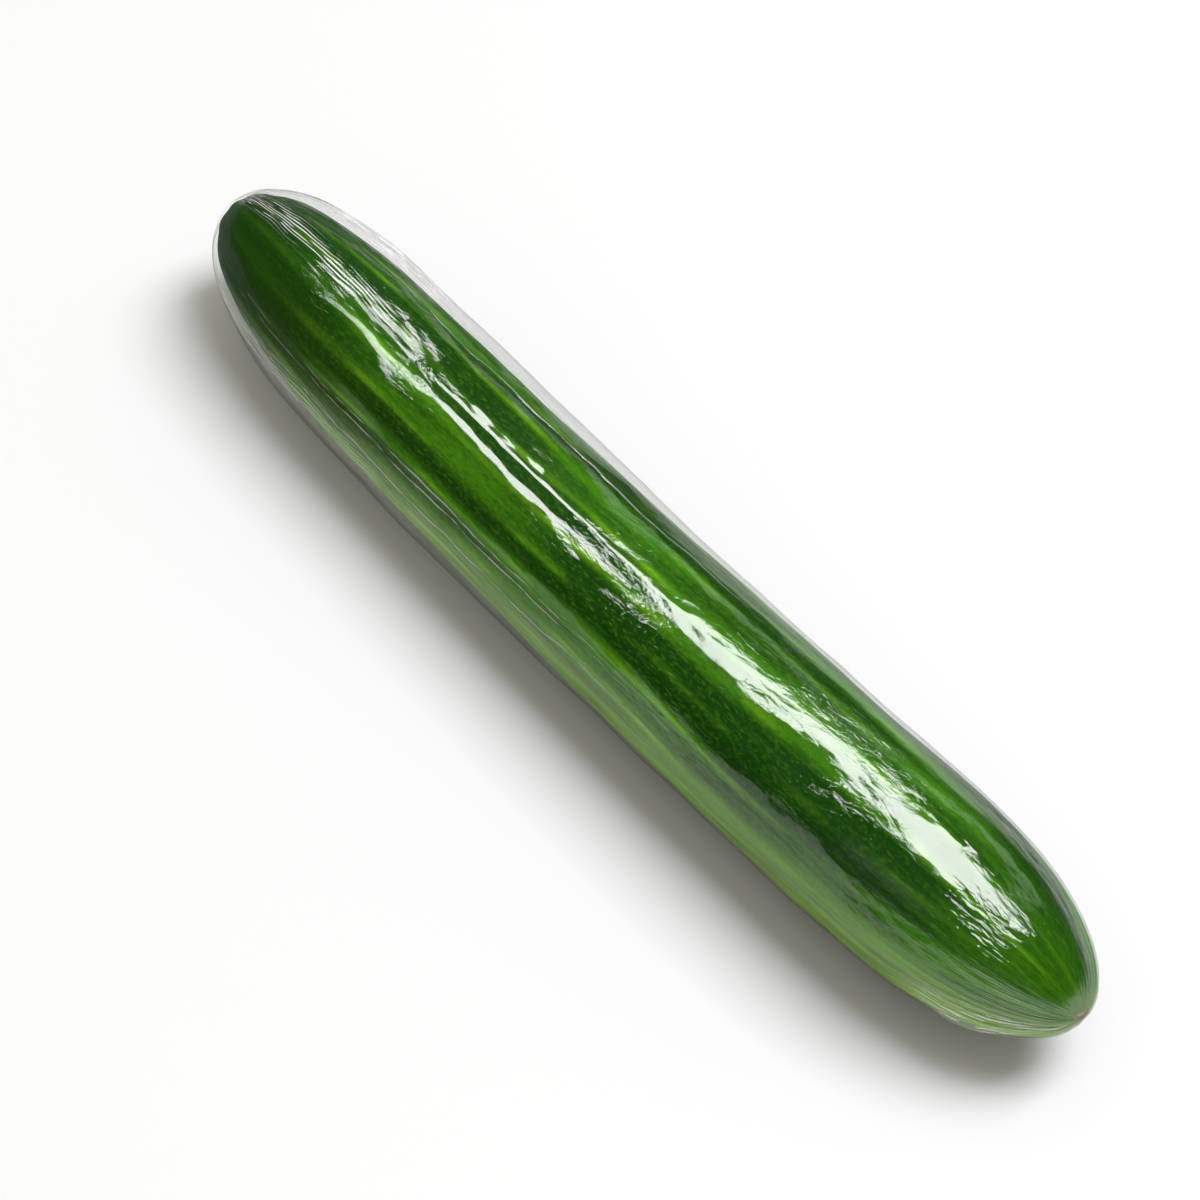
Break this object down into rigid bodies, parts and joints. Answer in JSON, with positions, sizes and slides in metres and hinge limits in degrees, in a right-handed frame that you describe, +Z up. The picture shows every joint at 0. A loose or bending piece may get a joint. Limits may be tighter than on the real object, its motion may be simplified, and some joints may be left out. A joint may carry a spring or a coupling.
{
  "type": "cucumber in clear film",
  "caption": "Long smooth salad cucumber with ribbed dark green skin, a cut stalk and a blossom scar, in a tight clear film sleeve, lying on its belly.",
  "frame": {"origin": "under the middle of the wrapped cucumber's box, on the surface that it rests on", "axes": "+X from the stem end to the blossom end, +Z up; the cucumber is bowed towards -Y"},
  "size_m": [0.3286, 0.0506, 0.0491],
  "materials": {
    "cucumber_skin": "waxy dark green cucumber skin with paler yellow-green streaks, darker and browner at the stem end, pale at the blossom scar",
    "clear_film": "thin glossy clear shrink film, pleated at both ends"
  },
  "bodies": {
    "root": {"cucumber": "cucumber_skin", "film_wrap": "clear_film"}
  },
  "joints": []
}
